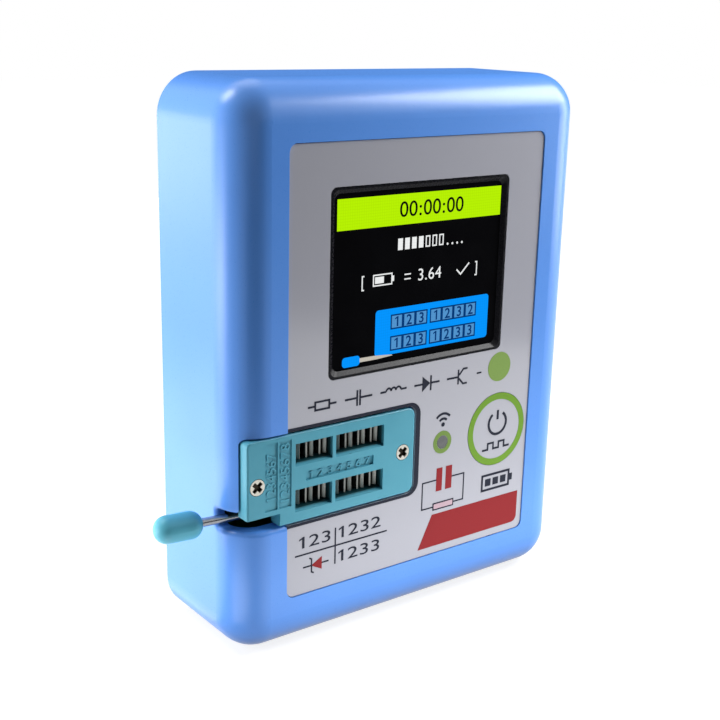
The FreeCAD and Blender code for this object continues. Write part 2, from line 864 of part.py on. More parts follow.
def battery_lead(x):
    start_depth = battery_depth + battery_thickness / 2
    end_depth = plug_depth_start + plug_depth / 2
    points = [Vector(x, front_y + start_depth, battery_high),
              Vector(x, front_y + start_depth, battery_high + lead_run),
              Vector(x, front_y + end_depth, plug_low - lead_run + plug_out / 2),
              Vector(x, front_y + end_depth, plug_low + plug_out)]
    edges = []
    last = points[0]
    for before, corner, after in zip(points, points[1:], points[2:]):
        back = (before - corner).normalize()
        onward = (after - corner).normalize()
        turn = math.pi - back.getAngle(onward)
        shorter_run = min((before - corner).Length, (after - corner).Length)
        radius = lead_arc_share * shorter_run / math.tan(turn / 2)
        trim = radius * math.tan(turn / 2)
        enter = corner + back * trim
        leave = corner + onward * trim
        inward = (back + onward).normalize()
        middle = corner + inward * (radius / math.cos(turn / 2) - radius)
        edges.append(Part.LineSegment(last, enter).toShape())
        edges.append(Part.Arc(enter, middle, leave).toShape())
        last = leave
        print("battery lead bend radius", round(radius, 2))
    edges.append(Part.LineSegment(last, points[-1]).toShape())
    path = Part.Wire(edges)
    profile = Part.Wire(Part.makeCircle(lead_diameter / 2, points[0], Vector(0, 0, 1)))
    lead = path.makePipeShell([profile], True, False)
    section = math.pi * lead_diameter ** 2 / 4
    print("battery lead volume over section times length", round(lead.Volume / (section * path.Length), 4))
    return lead


# Charging socket
def usb_shell():
    x0 = usb_mouth_x - usb_length
    half = usb_width / 2
    outer = box(x0, usb_mouth_x, board_back, board_back + usb_height, usb_z - half, usb_z + half)
    inner = box(x0 + usb_wall, usb_mouth_x + past, board_back + usb_wall, board_back + usb_height - usb_wall,
                usb_z - half + usb_wall, usb_z + half - usb_wall)
    return cut_all(outer, [inner])


def usb_tongue():
    x0 = usb_mouth_x - usb_length + usb_wall
    half = tongue_width / 2
    start = board_back + usb_wall
    foot = box(x0, x0 + tongue_back, start, board_back + usb_height - usb_wall, usb_z - half, usb_z + half)
    middle = board_back + usb_height / 2
    blade = box(x0, usb_mouth_x - tongue_short, middle - tongue_thickness / 2, middle + tongue_thickness / 2,
                usb_z - half, usb_z + half)
    return join([foot, blade])


save("front_shell", front_shell())
save("back_cover", back_cover())
save_group("case_screws", [case_screw(x, z) for x, z in boss_places()])
save("front_panel", front_panel())
save("screen_bezel", screen_bezel())
save("lcd_glass", lcd_slab(0, lcd_depth, lcd_glass_thickness))
save("lcd_backlight", lcd_slab(0, backlight_depth, lcd_backlight_thickness))
save("lcd_carrier", lcd_carrier())
save("lcd_flex", lcd_flex())
save("socket_cover", socket_cover())
save("socket_base", socket_base())
save("socket_slider", socket_slider())
save_group("socket_contacts", [socket_contact(x, z) for x, z in pin_places()])
save_group("socket_screws", [socket_screw(x) for x in socket_screw_xs])
save("lever_wire", lever_wire())
save("lever_knob", lever_knob())
save("main_board", main_board())
save_group("board_screws", [board_screw(x, z) for x, z in post_places()])
save("button_cap", button_cap())
save("switch_housing", switch_housing())
save("switch_plunger", switch_plunger())
save("ir_window", ir_window())
save("ir_receiver", ir_receiver())
save_group("ir_leads", ir_leads())
save("battery_cell", battery_cell())
save("battery_pad", battery_pad())
save("battery_plug", battery_plug())
save("battery_socket", battery_socket())
save("battery_lead_red", battery_lead(-lead_spacing / 2))
save("battery_lead_black", battery_lead(lead_spacing / 2))
save("usb_shell", usb_shell())
save("usb_tongue", usb_tongue())
save("charge_led", chip((board_half - led_length / 2, led_z), (led_length, led_width, led_height)))
save("processor_chip", processor_chip())
save("charger_chip", chip(charger_place, charger_size))
save("crystal_can", rounded_chip(crystal_place, crystal_size, crystal_corner))
save("power_coil", rounded_chip(coil_place, coil_size, coil_corner))
save_group("chip_capacitors",
           chip_grid(capacitor_place, capacitor_size, capacitor_columns, capacitor_rows, capacitor_step))
save_group("chip_resistors",
           chip_grid(resistor_place, resistor_size, resistor_columns, resistor_rows, resistor_step))
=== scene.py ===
import json
import math

import bmesh
import bpy
from mathutils import Matrix, Vector


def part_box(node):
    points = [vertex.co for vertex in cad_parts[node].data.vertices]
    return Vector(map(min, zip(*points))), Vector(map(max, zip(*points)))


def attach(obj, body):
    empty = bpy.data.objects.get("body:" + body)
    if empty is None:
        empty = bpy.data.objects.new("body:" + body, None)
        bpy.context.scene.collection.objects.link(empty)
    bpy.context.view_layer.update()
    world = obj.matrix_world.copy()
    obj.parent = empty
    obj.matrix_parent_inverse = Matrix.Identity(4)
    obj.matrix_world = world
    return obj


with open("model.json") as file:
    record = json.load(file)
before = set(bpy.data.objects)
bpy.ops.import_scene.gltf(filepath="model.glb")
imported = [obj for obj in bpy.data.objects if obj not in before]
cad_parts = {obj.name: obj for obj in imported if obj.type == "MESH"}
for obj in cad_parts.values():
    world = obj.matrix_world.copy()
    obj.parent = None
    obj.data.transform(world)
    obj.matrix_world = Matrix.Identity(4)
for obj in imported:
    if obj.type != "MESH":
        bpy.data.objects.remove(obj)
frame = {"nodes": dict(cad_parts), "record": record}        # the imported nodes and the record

mm = 0.001
scene = bpy.context.scene
scene.view_settings.view_transform = "Standard"
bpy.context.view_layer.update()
print("frame loaded:", len(frame["nodes"]), "nodes")


def boxOf(node):
    low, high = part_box(node)
    return low / mm, high / mm  # millimetres


def middleOf(node):
    low, high = boxOf(node)
    return (low.x + high.x) / 2, (low.z + high.z) / 2  # across and up the front


panelLow = boxOf("front_panel")[0]
glassFront = boxOf("lcd_glass")[0].y
buttonFront = boxOf("button_cap")[0].y
coverLow, coverHigh = boxOf("socket_cover")
buttonX, buttonZ = middleOf("button_cap")
windowX, windowZ = middleOf("ir_window")


# camera, at the photograph's own place
view = {
    "place": (-122.122, -156.225, 98.818),  # mm
    "turn": 37.166, "dip": 15.982, "roll": 1.360,  # degrees
    "focal": 1205.757, "picture": 720,  # pixels
    "sensor": 36.0,  # mm
    "near": 0.01,  # m
}


def addCamera():
    data = bpy.data.cameras.new("photoCamera")
    data.sensor_width = view["sensor"]
    data.lens = view["focal"] / view["picture"] * view["sensor"]
    data.clip_start = view["near"]
    camera = bpy.data.objects.new("photoCamera", data)
    turn = Matrix.Rotation(-math.radians(view["turn"]), 4, "Z")
    dip = Matrix.Rotation(math.radians(90 - view["dip"]), 4, "X")
    roll = Matrix.Rotation(math.radians(view["roll"]), 4, "Z")
    camera.matrix_world = Matrix.Translation(Vector(view["place"]) * mm) @ turn @ dip @ roll
    scene.collection.objects.link(camera)
    scene.camera = camera


# nodes that every finish uses
mixPlaces = {"amount": 0, "first": 6, "second": 7, "result": 2}  # a mix node's colour sockets
noiseSpan = (0.3, 0.7)  # most of a noise pattern lies between these
evenly = (1.0, 1.0, 1.0)


def addNode(tree, kind, values=None):
    node = tree.nodes.new("ShaderNode" + kind)
    for name, value in (values or {}).items():
        node.inputs[name].default_value = value
    return node


def startFinish(name, sockets):
    material = bpy.data.materials.new(name)
    material.use_nodes = True
    tree = material.node_tree
    shader = tree.nodes["Principled BSDF"]
    for socket, value in sockets.items():
        shader.inputs[socket].default_value = value
    return material, tree, shader


def combined(tree, operation, first, second):
    node = tree.nodes.new("ShaderNodeMath")
    node.operation = operation
    tree.links.new(first, node.inputs[0])
    tree.links.new(second, node.inputs[1])
    return node.outputs[0]


def splitPlaces(tree):
    split = addNode(tree, "SeparateXYZ")
    tree.links.new(addNode(tree, "TexCoord").outputs["Object"], split.inputs["Vector"])
    return split.outputs


def scaledPlaces(tree, size, stretch=evenly):
    # places counted in steps of size mm; a stretch under 1 draws the pattern out along that axis
    mapping = addNode(tree, "Mapping", {"Scale": [s / (size * mm) for s in stretch]})
    tree.links.new(addNode(tree, "TexCoord").outputs["Object"], mapping.inputs["Vector"])
    return mapping.outputs["Vector"]


def noise(tree, size, detail=2.0, stretch=evenly):
    pattern = addNode(tree, "TexNoise", {"Scale": 1.0, "Detail": detail})
    tree.links.new(scaledPlaces(tree, size, stretch), pattern.inputs["Vector"])
    return pattern.outputs["Fac"]


def ranged(tree, amount, low, high):
    start, end = noiseSpan
    node = addNode(tree, "MapRange", {"From Min": start, "From Max": end, "To Min": low, "To Max": high})
    tree.links.new(amount, node.inputs["Value"])
    return node.outputs["Result"]


def mixed(tree, amount, first, second):
    node = tree.nodes.new("ShaderNodeMix")
    node.data_type = "RGBA"
    for place, value in (("first", first), ("second", second)):
        node.inputs[mixPlaces[place]].default_value = (*value, 1.0)
    tree.links.new(amount, node.inputs[mixPlaces["amount"]])
    return node.outputs[mixPlaces["result"]]


def coat(tree, shader, colour, rough):
    tree.links.new(colour, shader.inputs["Base Color"])
    tree.links.new(rough, shader.inputs["Roughness"])


def relief(tree, shader, height, depth):
    node = addNode(tree, "Bump", {"Strength": 1.0, "Distance": depth * mm})
    tree.links.new(height, node.inputs["Height"])
    tree.links.new(node.outputs["Normal"], shader.inputs["Normal"])


shadeEnds = {"across": (-50.0, 50.0), "soft": 0.1}  # mm; painted recess shade with no ends of its own spans the part


def paintedDepthShade(tree, colour, look):
    # painted shade: fades to dark with the depth along Y, between two places along X, as shade falls in a
    # recess; all in mm
    start, end = look["depth"]
    left, right = look.get("across", shadeEnds["across"])
    soft = shadeEnds["soft"]
    places = splitPlaces(tree)
    amount = None
    for axis, low, high in (("Y", start, end), ("X", left - soft, left), ("X", right + soft, right)):
        ramp = addNode(tree, "MapRange", {"From Min": low * mm, "From Max": high * mm})
        tree.links.new(places[axis], ramp.inputs["Value"])
        share = ramp.outputs["Result"]
        amount = share if amount is None else combined(tree, "MULTIPLY", amount, share)
    fade = mixed(tree, amount, look["dark"], look["dark"])
    tree.links.new(colour, fade.node.inputs[mixPlaces["first"]])
    return fade


# moulded plastic: cloudy colour, fine grain, and painted recess shade where a look asks for it
def mouldedFinish(name, look):
    material, tree, shader = startFinish(name, look["sockets"])
    cloud = ranged(tree, noise(tree, look["cloud"], detail=3.0), 0.0, 1.0)
    colour = mixed(tree, cloud, look["colour"], look["shade"])
    if "recessShade" in look:
        colour = paintedDepthShade(tree, colour, look["recessShade"])
    grain = noise(tree, look["grain"])
    coat(tree, shader, colour, ranged(tree, grain, *look["rough"]))
    relief(tree, shader, grain, look["depth"])
    return material


caseBlue = {"colour": (0.105, 0.315, 0.860), "shade": (0.099, 0.302, 0.842), "cloud": 14.0, "grain": 0.16,
            "rough": (0.27, 0.34), "depth": 0.004, "sockets": {"Specular IOR Level": 0.5}}
backBlue = {**caseBlue, "grain": 0.30, "rough": (0.46, 0.60), "depth": 0.012}  # spark-textured back plate
socketTeal = {"colour": (0.080, 0.345, 0.455), "shade": (0.068, 0.320, 0.430), "cloud": 5.0, "grain": 0.10,
              "rough": (0.36, 0.50), "depth": 0.004, "sockets": {"Specular IOR Level": 0.45}}
# painted shade: the inner walls of the cover's contact windows fade to dark with depth
socketCoverShaded = {**socketTeal, "recessShade": {"depth": (coverLow.y + 0.37, coverLow.y + 0.85),
                                        "across": (-24.4, -6.8), "dark": (0.006, 0.046, 0.056)}}
# painted shade: the socket base is the socket's teal darkened to about a sixth, standing in for the shade it
# lies in
socketBaseShaded = {**socketTeal, "colour": (0.012, 0.055, 0.070), "shade": (0.010, 0.048, 0.062)}
# painted light: the knob's teal is the socket's teal made lighter, to stand in for the light the knob catches
knobTealLit = {"colour": (0.105, 0.460, 0.600), "shade": (0.094, 0.430, 0.565), "cloud": 3.0, "grain": 0.14,
            "rough": (0.38, 0.52), "depth": 0.006, "sockets": {"Specular IOR Level": 0.45}}
sliderBlack = {"colour": (0.012, 0.016, 0.018), "shade": (0.020, 0.024, 0.026), "cloud": 1.5, "grain": 0.08,
               "rough": (0.45, 0.62), "depth": 0.004, "sockets": {"Specular IOR Level": 0.35}}
whitePlastic = {"colour": (0.74, 0.74, 0.72), "shade": (0.70, 0.70, 0.67), "cloud": 4.0, "grain": 0.12,
                "rough": (0.38, 0.52), "depth": 0.004, "sockets": {"Specular IOR Level": 0.45}}
chipBlack = {"colour": (0.020, 0.020, 0.021), "shade": (0.030, 0.030, 0.030), "cloud": 0.8, "grain": 0.05,
             "rough": (0.50, 0.68), "depth": 0.006, "sockets": {"Specular IOR Level": 0.4}}
foamBlack = {"colour": (0.030, 0.030, 0.030), "shade": (0.045, 0.045, 0.045), "cloud": 0.6, "grain": 0.18,
             "rough": (0.85, 0.97), "depth": 0.060, "sockets": {"Specular IOR Level": 0.2}}
leadRed = {"colour": (0.60, 0.025, 0.020), "shade": (0.52, 0.018, 0.015), "cloud": 2.0, "grain": 0.08,
           "rough": (0.40, 0.52), "depth": 0.003, "sockets": {"Specular IOR Level": 0.45}}
leadBlack = {**leadRed, "colour": (0.020, 0.020, 0.020), "shade": (0.030, 0.030, 0.030)}
capacitorTan = {"colour": (0.45, 0.30, 0.18), "shade": (0.40, 0.26, 0.15), "cloud": 0.5, "grain": 0.06,
                "rough": (0.30, 0.42), "depth": 0.003, "sockets": {"Specular IOR Level": 0.5}}
ledClear = {"colour": (0.80, 0.75, 0.60), "shade": (0.74, 0.66, 0.48), "cloud": 0.4, "grain": 0.10,
            "rough": (0.08, 0.16), "depth": 0.002, "sockets": {"Transmission Weight": 0.35}}
irGrey = {"colour": (0.115, 0.120, 0.120), "shade": (0.090, 0.095, 0.095), "cloud": 0.9, "grain": 0.15,
          "rough": (0.14, 0.24), "depth": 0.002, "sockets": {"Specular IOR Level": 0.5}}
bezelBlack = {"colour": (0.006, 0.006, 0.008), "shade": (0.009, 0.009, 0.012), "cloud": 3.0, "grain": 0.30,
              "rough": (0.22, 0.32), "depth": 0.002, "sockets": {"Specular IOR Level": 0.12}}
screenGlass = {"colour": (0.0030, 0.0030, 0.0036), "shade": (0.0042, 0.0042, 0.0050), "cloud": 6.0,
               "grain": 0.22, "rough": (0.10, 0.16), "depth": 0.0006, "sockets": {"Specular IOR Level": 0.0}}


# silver film: fine flakes under a satin face
panelFilm = {"colour": (0.428, 0.434, 0.492), "shade": (0.404, 0.409, 0.464), "flake": 0.07, "cloud": 20.0,
             "rough": (0.10, 0.16), "depth": 0.0005, "sockets": {"Specular IOR Level": 0.9}}


def filmFinish(name, look):
    material, tree, shader = startFinish(name, look["sockets"])
    flake = noise(tree, look["flake"], detail=1.0)
    colour = mixed(tree, ranged(tree, flake, 0.0, 1.0), look["colour"], look["shade"])
    sheen = noise(tree, look["cloud"])
    coat(tree, shader, colour, ranged(tree, sheen, *look["rough"]))
    relief(tree, shader, flake, look["depth"])
    return material


# plated and drawn metal: fine lines along one axis; recesses get painted shade, darker with depth
socketScrewTop = boxOf("socket_screws")[0].y
caseScrewTop = boxOf("case_screws")[1].y
contactTop = boxOf("socket_contacts")[0].y
contactMetal = {"colour": (0.62, 0.61, 0.57), "shade": (0.46, 0.45, 0.42), "line": 0.10, "detail": 3.0,
                "along": (1.0, 0.1, 1.0), "rough": (0.30, 0.46), "depth": 0.002,
                "sockets": {"Metallic": 0.75}}
# painted shade: the socket's contacts are the contact metal darkened, and they fade darker still with depth
# below their tops
socketContactShaded = {**contactMetal, "colour": (0.40, 0.40, 0.37), "shade": (0.26, 0.28, 0.26),
                 "recessShade": {"depth": (contactTop + 0.1, contactTop + 1.8), "dark": (0.03, 0.04, 0.04)}}
screwSteel = {"colour": (0.62, 0.62, 0.62), "shade": (0.48, 0.48, 0.49), "line": 0.20, "detail": 3.0,
              "along": (1.0, 0.3, 1.0), "rough": (0.24, 0.40), "depth": 0.003, "sockets": {"Metallic": 1.0}}
# painted shade: the case screws darken down into their cross recess
caseScrew = {**screwSteel, "recessShade": {"depth": (caseScrewTop - 0.12, caseScrewTop - 0.45),
                                      "dark": (0.05, 0.05, 0.05)}}
# painted shade: the brass screws darken down into their recess
screwBrass = {"colour": (0.70, 0.68, 0.62), "shade": (0.60, 0.57, 0.48), "line": 0.25, "detail": 3.0,
              "along": (1.0, 0.3, 1.0), "rough": (0.30, 0.44), "depth": 0.003, "sockets": {"Metallic": 0.8},
              "recessShade": {"depth": (socketScrewTop + 0.10, socketScrewTop + 0.35),
                         "dark": (0.030, 0.022, 0.014)}}
leverSteel = {"colour": (0.36, 0.37, 0.39), "shade": (0.26, 0.27, 0.29), "line": 0.08, "detail": 3.0,
              "along": (0.05, 1.0, 1.0), "rough": (0.14, 0.28), "depth": 0.0015, "sockets": {"Metallic": 1.0}}
# crumpled laminate of the battery pouch: creases in place of lines
batteryFoil = {"colour": (0.76, 0.77, 0.79), "shade": (0.60, 0.61, 0.64), "line": 4.0, "detail": 4.0,
               "along": evenly, "rough": (0.26, 0.42), "depth": 0.12, "sockets": {"Metallic": 0.9}}


def metalFinish(name, look):
    material, tree, shader = startFinish(name, look["sockets"])
    lines = noise(tree, look["line"], look["detail"], look["along"])
    colour = mixed(tree, ranged(tree, lines, 0.0, 1.0), look["colour"], look["shade"])
    if "recessShade" in look:
        colour = paintedDepthShade(tree, colour, look["recessShade"])
    coat(tree, shader, colour, ranged(tree, lines, *look["rough"]))
    relief(tree, shader, lines, look["depth"])
    return material


# circuit board and flexible film: copper tracks under a tinted coat, with so many grains to a pitch
boardGreen = {"coat": (0.008, 0.115, 0.040), "track": (0.030, 0.210, 0.075), "pitch": 2.1, "spread": 0.6,
              "grains": 6, "rough": (0.26, 0.38), "depth": 0.02, "sockets": {"Specular IOR Level": 0.5}}
flexAmber = {"coat": (0.48, 0.20, 0.035), "track": (0.62, 0.33, 0.09), "pitch": 0.8, "spread": 0.6,
             "grains": 6, "rough": (0.22, 0.34), "depth": 0.01, "sockets": {"Specular IOR Level": 0.5}}


def trackFinish(name, look):
    material, tree, shader = startFinish(name, look["sockets"])
    cells = addNode(tree, "TexVoronoi", {"Scale": 1.0, "Randomness": look["spread"]})
    cells.distance = "MANHATTAN"
    tree.links.new(scaledPlaces(tree, look["pitch"]), cells.inputs["Vector"])
    track = ranged(tree, cells.outputs["Distance"], 0.0, 1.0)
    colour = mixed(tree, track, look["coat"], look["track"])
    grain = noise(tree, look["pitch"] / look["grains"])
    coat(tree, shader, colour, ranged(tree, grain, *look["rough"]))
    relief(tree, shader, track, look["depth"])
    return material


# lit fields of the screen, with the darker lines between their pixels
pixels = {"pitch": 0.22, "edge": 0.2, "gap": 0.86,
          "sockets": {"Base Color": (0.002, 0.002, 0.002, 1.0), "Roughness": 0.3, "Specular IOR Level": 0.0,
                      "Emission Strength": 1.0}}
litColours = {"screen_lime": (0.470, 0.880, 0.000), "screen_blue": (0.000, 0.300, 1.000),
              "screen_white": (0.860, 0.880, 0.880)}


def litFinish(name, colour):
    material, tree, shader = startFinish(name, pixels["sockets"])
    places = splitPlaces(tree)
    pitch = pixels["pitch"] * mm
    lines = []
    for axis in ("X", "Z"):
        wave = addNode(tree, "Math", {1: pitch})
        wave.operation = "PINGPONG"
        tree.links.new(places[axis], wave.inputs[0])
        lines.append(wave.outputs[0])
    body = addNode(tree, "MapRange", {"From Min": 0.0, "From Max": pitch * pixels["edge"]})
    tree.links.new(combined(tree, "MINIMUM", *lines), body.inputs["Value"])
    dim = [c * pixels["gap"] for c in colour]
    tree.links.new(mixed(tree, body.outputs["Result"], dim, colour), shader.inputs["Emission Color"])
    return material


# printed ink: thin, slightly uneven
inkLook = {"grain": 0.10, "rough": (0.42, 0.58), "depth": 0.002, "uneven": 0.88,
           "sockets": {"Specular IOR Level": 0.12}}
inkColours = {"print_dark": (0.020, 0.023, 0.038), "print_green": (0.170, 0.335, 0.040),
              "print_red": (0.285, 0.0215, 0.0255)}


def inkFinish(name, colour):
    material, tree, shader = startFinish(name, inkLook["sockets"])
    grain = noise(tree, inkLook["grain"])
    thin = [c * inkLook["uneven"] for c in colour]
    ink = mixed(tree, ranged(tree, grain, 0.0, 1.0), thin, colour)
    coat(tree, shader, ink, ranged(tree, grain, *inkLook["rough"]))
    relief(tree, shader, grain, inkLook["depth"])
    return material


def makeFinishes():
    moulded = {"case_blue": caseBlue, "socket_teal": socketTeal, "knob_teal": knobTealLit,
               "slider_black": sliderBlack, "white_plastic": whitePlastic, "chip_black": chipBlack,
               "foam_black": foamBlack, "lead_red": leadRed, "lead_black": leadBlack,
               "capacitor_tan": capacitorTan, "led_clear": ledClear, "ir_grey": irGrey,
               "bezel_black": bezelBlack, "screen_glass": screenGlass}
    metals = {"contact_metal": contactMetal, "screw_steel": screwSteel, "screw_brass": screwBrass,
              "lever_steel": leverSteel, "battery_foil": batteryFoil}
    tracks = {"board_green": boardGreen, "flex_film": flexAmber}
    made = {slot: mouldedFinish(slot, look) for slot, look in moulded.items()}
    made.update({slot: metalFinish(slot, look) for slot, look in metals.items()})
    made.update({slot: trackFinish(slot, look) for slot, look in tracks.items()})
    made.update({slot: litFinish(slot, colour) for slot, colour in litColours.items()})
    made.update({slot: inkFinish(slot, colour) for slot, colour in inkColours.items()})
    made["panel_grey"] = filmFinish("panel_grey", panelFilm)
    return made


def dressNodes():
    # a few nodes have a finish of their own within their slot; some are copies of their slot's finish with
    # painted shade
    special = {"case_screws": metalFinish("case_screw", caseScrew),
               "socket_contacts": metalFinish("socket_contact", socketContactShaded),
               "socket_cover": mouldedFinish("socket_cover", socketCoverShaded),
               "socket_base": mouldedFinish("socket_base", socketBaseShaded),
               "back_cover": mouldedFinish("back_cover", backBlue)}
    for row in frame["record"]["subparts"]:
        materials = frame["nodes"][row["node"]].data.materials
        materials.clear()
        materials.append(special.get(row["node"], finishes[row["material_slot"]]))


# flat outlines, in mm across and up the front
def bar(x0, x1, z0, z1):
    return [(x0, z0), (x1, z0), (x1, z1), (x0, z1)]


def disc(x, z, radius, steps=48):
    turns = [2 * math.pi * i / steps for i in range(steps)]
    return [(x + radius * math.cos(t), z + radius * math.sin(t)) for t in turns]


def arc(x, z, radius, start, end, steps=24):
    turns = [math.radians(start + (end - start) * i / steps) for i in range(steps + 1)]
    return [(x + radius * math.cos(t), z + radius * math.sin(t)) for t in turns]


def roundedBar(x0, x1, z0, z1, radius):
    corners = ((x1 - radius, z0 + radius, -90), (x1 - radius, z1 - radius, 0),
               (x0 + radius, z1 - radius, 90), (x0 + radius, z0 + radius, 180))
    return [p for x, z, start in corners for p in arc(x, z, radius, start, start + 90, steps=6)]


def stroke(points, width, closed=False):
    # a line of even width, mitred at its corners, as four-sided faces
    spots = [Vector(p) for p in points]
    count = len(spots)
    sides = []
    for i, spot in enumerate(spots):
        before = spots[i - 1] if closed or i else None
        after = spots[(i + 1) % count] if closed or i < count - 1 else None
        ways = [(b - a).normalized() for a, b in ((before, spot), (spot, after)) if a and b]
        along = sum(ways, Vector((0, 0))).normalized()
        across = Vector((-along.y, along.x))
        reach = width / 2 / abs(across.dot(Vector((-ways[0].y, ways[0].x))))
        sides.append((spot + across * reach, spot - across * reach))
    pairs = list(zip(sides, sides[1:] + sides[:1] if closed else sides[1:]))
    return [[a[0], a[1], b[1], b[0]] for a, b in pairs]


# figures, in cells of even width
figureLook = {"cell": 0.74, "narrow": 0.42, "fontHeight": 0.69, "swell": 0.4, "stem": 0.142,
              "one": ((0.0, 0.0), (1.0, 0.0), (1.0, 7.0), (0.3, 7.0), (-1.3, 5.8), (-1.3, 4.9), (0.0, 5.7))}


def figureFaces(sign, weight):
    # one figure of unit height, centred on its foot; the font's own 1 is a bare stem
    if sign == "1":
        stem = figureLook["stem"] + weight
        tall = max(z for x, z in figureLook["one"])
        return [[(x * stem, z / tall) for x, z in figureLook["one"]]]
    curve = bpy.data.curves.new("figure", "FONT")
    curve.body = sign
    curve.offset = weight * figureLook["swell"]
    holder = bpy.data.objects.new("figure", curve)
    mesh = bpy.data.meshes.new_from_object(holder)
    xs = [v.co.x for v in mesh.vertices]
    middle = (max(xs) + min(xs)) / 2
    tall = figureLook["fontHeight"]
    faces = []
    for face in mesh.polygons:
        spots = [mesh.vertices[i].co for i in face.vertices]
        faces.append([((c.x - middle) / tall, c.y / tall) for c in spots])
    bpy.data.objects.remove(holder)
    bpy.data.curves.remove(curve)
    bpy.data.meshes.remove(mesh)
    return faces


def numbers(text, x, z, height, width=None, weight=0.0, turned=False, centred=False):
    # figures from x along, standing on z; turned ones read upwards
    cells = [figureLook["narrow" if sign in ":. " else "cell"] for sign in text]
    wide = width / sum(cells) if width else height
    along = -sum(cells) * wide / 2 if centred else 0.0
    faces = []
    for sign, cell in zip(text, cells):
        along += cell * wide / 2
        for face in figureFaces(sign, weight) if sign != " " else []:
            flat = [(along + u * wide, v * height) for u, v in face]
            faces.append([(x - v, z + u) if turned else (x + u, z + v) for u, v in flat])
        along += cell * wide / 2
    return faces


weld = 1e-7  # m; corners nearer than this are one


def raisePiece(name, faces, backY, thickness, body, slot, material=None):
    # a thin closed slab on the face at backY, standing towards the front
    build = bmesh.new()
    for face in faces:
        build.faces.new([build.verts.new((x * mm, backY * mm, z * mm)) for x, z in face])
    bmesh.ops.remove_doubles(build, verts=build.verts, dist=weld)
    bmesh.ops.recalc_face_normals(build, faces=build.faces)
    flat = list(build.faces)
    made = bmesh.ops.extrude_face_region(build, geom=flat, use_keep_orig=True)
    raised = [g for g in made["geom"] if isinstance(g, bmesh.types.BMVert)]
    bmesh.ops.translate(build, verts=raised, vec=(0, -thickness * mm, 0))
    bmesh.ops.recalc_face_normals(build, faces=build.faces)
    mesh = bpy.data.meshes.new(name)
    build.to_mesh(mesh)
    build.free()
    mesh.materials.append(material or finishes[slot])
    piece = bpy.data.objects.new(name, mesh)
    scene.collection.objects.link(piece)
    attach(piece, body)
    return piece


# printing on the panel
printing = {"thickness": 0.03, "line": 0.26}


def printPanel(name, faces, slot, material=None):
    raisePiece(name, faces, panelLow.y, printing["thickness"], "case", slot, material)


# pin map: a cross with rows of figures, each given as text, x, z and width
pinMap = {"middle": (-16.22, 15.98), "across": (-24.05, -5.6), "up": (12.75, 19.1), "height": 1.96,
          "rows": (("123", -23.88, 17.1, 7.0), ("1232", -16.15, 17.1, 9.35), ("1233", -16.15, 12.95, 9.35))}


def printPinMap():
    x, z = pinMap["middle"]
    half = printing["line"] / 2
    left, right = pinMap["across"]
    low, high = pinMap["up"]
    faces = [bar(left, right, z - half, z + half), bar(x - half, x + half, z + half, high),
             bar(x - half, x + half, low, z - half)]
    for text, startX, startZ, width in pinMap["rows"]:
        faces += numbers(text, startX, startZ, pinMap["height"], width)
    printPanel("pin_map_print", faces, "print_dark")


diodeMark = {"line": (-22.5, -17.5), "z": 13.7, "tip": -20.85, "base": -18.85, "half": 1.12, "point": 0.12,
             "hook": 0.45}


def printDiode():
    mark = diodeMark
    z, tip, base, half = mark["z"], mark["tip"], mark["base"], mark["half"]
    line = printing["line"]
    edge = line / 2
    left, right = mark["line"]
    bend = [(tip - mark["hook"], z + half + line), (tip, z + half),
            (tip, z - half), (tip + mark["hook"], z - half - line)]
    leads = [bar(left, tip - edge, z - edge, z + edge), bar(base, right, z - edge, z + edge)]
    printPanel("diode_line_print", leads + stroke(bend, line), "print_dark")
    arrow = [(tip + edge, z - mark["point"]), (base, z - half),
             (base, z + half), (tip + edge, z + mark["point"])]
    printPanel("diode_print", [arrow], "print_red")


# capacitor with a resistor across it
capacitorMark = {"left": 1.85, "right": 11.15, "wire": 22.7, "plates": ((4.87, 6.17), (6.95, 8.35)),
                 "plateUp": (20.6, 24.8), "box": (4.28, 8.99, 17.16, 18.53), "line": 0.24,
                 "fill": (0.56, 0.40, 0.46)}


def printCapacitor():
    mark = capacitorMark
    line, wire = mark["line"], mark["wire"]
    edge = line / 2
    boxLeft, boxRight, boxLow, boxHigh = mark["box"]
    middle = (boxLow + boxHigh) / 2
    first, second = mark["plates"]
    loops = ((first[0], mark["left"], boxLeft), (second[1], mark["right"], boxRight))
    wires = []
    for plate, side, end in loops:
        wires += stroke([(plate, wire), (side, wire), (side, middle), (end, middle)], line)
    wires += stroke(bar(boxLeft + edge, boxRight - edge, boxLow + edge, boxHigh - edge), line, True)
    printPanel("capacitor_wire_print", wires, "print_dark")
    plates = [bar(*plate, *mark["plateUp"]) for plate in mark["plates"]]
    printPanel("capacitor_plate_print", plates, "print_red")
    fill = bar(boxLeft + line, boxRight - line, boxLow + line, boxHigh - line)
    printPanel("resistor_fill_print", [fill], "print_red", inkFinish("pinkInk", mark["fill"]))


redField = {"foot": 1.3, "shoulder": 4.2, "right": 24.45, "low": 10.5, "high": 16.45, "corner": 1.2}


def printRedField():
    mark = redField
    low, high, right, corner = mark["low"], mark["high"], mark["right"], mark["corner"]
    outline = [(mark["foot"], low)] + arc(right - corner, low + corner, corner, -90, 0, steps=8)
    outline += [(right, high), (mark["shoulder"], high)]
    printPanel("red_field_print", [outline], "print_red")


# a row of plain part symbols with a dash at its end
symbolRow = {"kinds": ("resistor", "capacitor", "coil", "diode", "transistor"), "z": 40.45,
             "xs": (-19.2, -12.15, -5.1, 1.95, 9.0), "lead": 2.7, "half": 1.3, "line": 0.33,
             "bodies": {"resistor": 1.5, "capacitor": 0.45, "coil": 1.5, "diode": 1.0}, "loops": 3,
             "base": 0.35, "join": 0.3, "bend": 0.9, "end": 1.8, "dash": (13.0, 14.05), "dashLine": 0.28}


